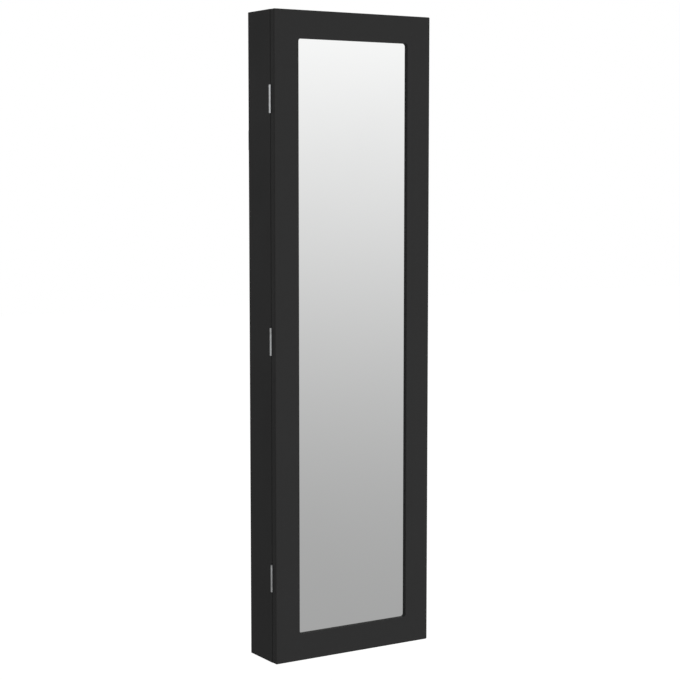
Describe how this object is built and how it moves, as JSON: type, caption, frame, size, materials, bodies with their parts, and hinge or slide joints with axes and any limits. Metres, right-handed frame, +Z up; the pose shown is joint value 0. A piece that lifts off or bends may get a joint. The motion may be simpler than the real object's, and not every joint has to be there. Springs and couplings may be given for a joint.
{
  "type": "jewellery mirror cabinet",
  "caption": "Wall-hung jewellery cabinet with a full-length mirror door on butt hinges, and hooks, ring rolls, earring rails, a pocket and guarded shelves inside.",
  "frame": {"origin": "on the wall plane, midway between the mouths of the two keyholes that the cabinet hangs by", "axes": "+X to the viewer's right, +Y into the wall, +Z up; the mirror faces -Y"},
  "size_m": [0.3025, 0.0865, 1.06],
  "materials": {
    "black_paint": "satin black paint on fibreboard",
    "hardboard": "bare hardboard",
    "dowel_wood": "bare beech",
    "mirror": "silvered glass",
    "zinc_steel": "zinc plated",
    "chrome": "polished chrome",
    "rail_steel": "satin nickel",
    "lining_velvet": "black velvet",
    "roll_velvet": "black velvet over foam",
    "pocket_velvet": "black velvet",
    "black_plastic": "moulded, fine grain",
    "ferrite": "sintered ferrite",
    "pad_rubber": "matt rubber",
    "buffer_felt": "pressed felt"
  },
  "bodies": {
    "case": {"back_lining": "lining_velvet", "back_panel": "hardboard", "bottom_panel": "black_paint", "catch_housing": "black_plastic", "catch_magnet": "ferrite", "catch_poles": "zinc_steel", "catch_screws": "zinc_steel", "corner_dowels": "dowel_wood", "door_buffers": "buffer_felt", "guard_rods": "chrome", "hanger_plate_left": "zinc_steel", "hanger_plate_right": "zinc_steel", "hanger_screws": "zinc_steel", "hinge_case_leaf_bottom": "zinc_steel", "hinge_case_leaf_middle": "zinc_steel", "hinge_case_leaf_top": "zinc_steel", "hinge_case_screws": "zinc_steel", "hinge_pin_bottom": "zinc_steel", "hinge_pin_middle": "zinc_steel", "hinge_pin_top": "zinc_steel", "necklace_hooks": "chrome", "necklace_rail": "black_paint", "necklace_rail_dowels": "dowel_wood", "ring_rolls": "roll_velvet", "ring_tray": "black_paint", "ring_tray_screws": "zinc_steel", "shelf_dowels": "dowel_wood", "shelf_lower": "black_paint", "shelf_middle": "black_paint", "shelf_upper": "black_paint", "side_panel_left": "black_paint", "side_panel_right": "black_paint", "top_panel": "black_paint", "wall_pads": "pad_rubber"},
    "door": {"bracelet_hooks": "chrome", "bracelet_strip": "black_paint", "bracelet_strip_posts": "rail_steel", "bracelet_strip_screws": "zinc_steel", "door_frame": "black_paint", "door_lining": "lining_velvet", "door_pocket": "pocket_velvet", "earring_rail_1": "rail_steel", "earring_rail_2": "rail_steel", "earring_rail_3": "rail_steel", "earring_rail_4": "rail_steel", "earring_rail_5": "rail_steel", "earring_rail_6": "rail_steel", "earring_rail_posts": "rail_steel", "earring_rail_screws": "zinc_steel", "hinge_door_leaf_bottom": "zinc_steel", "hinge_door_leaf_middle": "zinc_steel", "hinge_door_leaf_top": "zinc_steel", "hinge_door_screws": "zinc_steel", "mirror_backing": "hardboard", "mirror_clip_screws": "zinc_steel", "mirror_clips": "zinc_steel", "mirror_glass": "mirror", "strike_plate": "zinc_steel", "strike_screw": "zinc_steel"}
  },
  "joints": [
    {"name": "door_hinge", "type": "hinge", "parent": "case", "child": "door", "pos_m": [-0.1505, -0.074, -0.32], "axis": [0, 0, -1], "range_deg": [0, 180]}
  ]
}
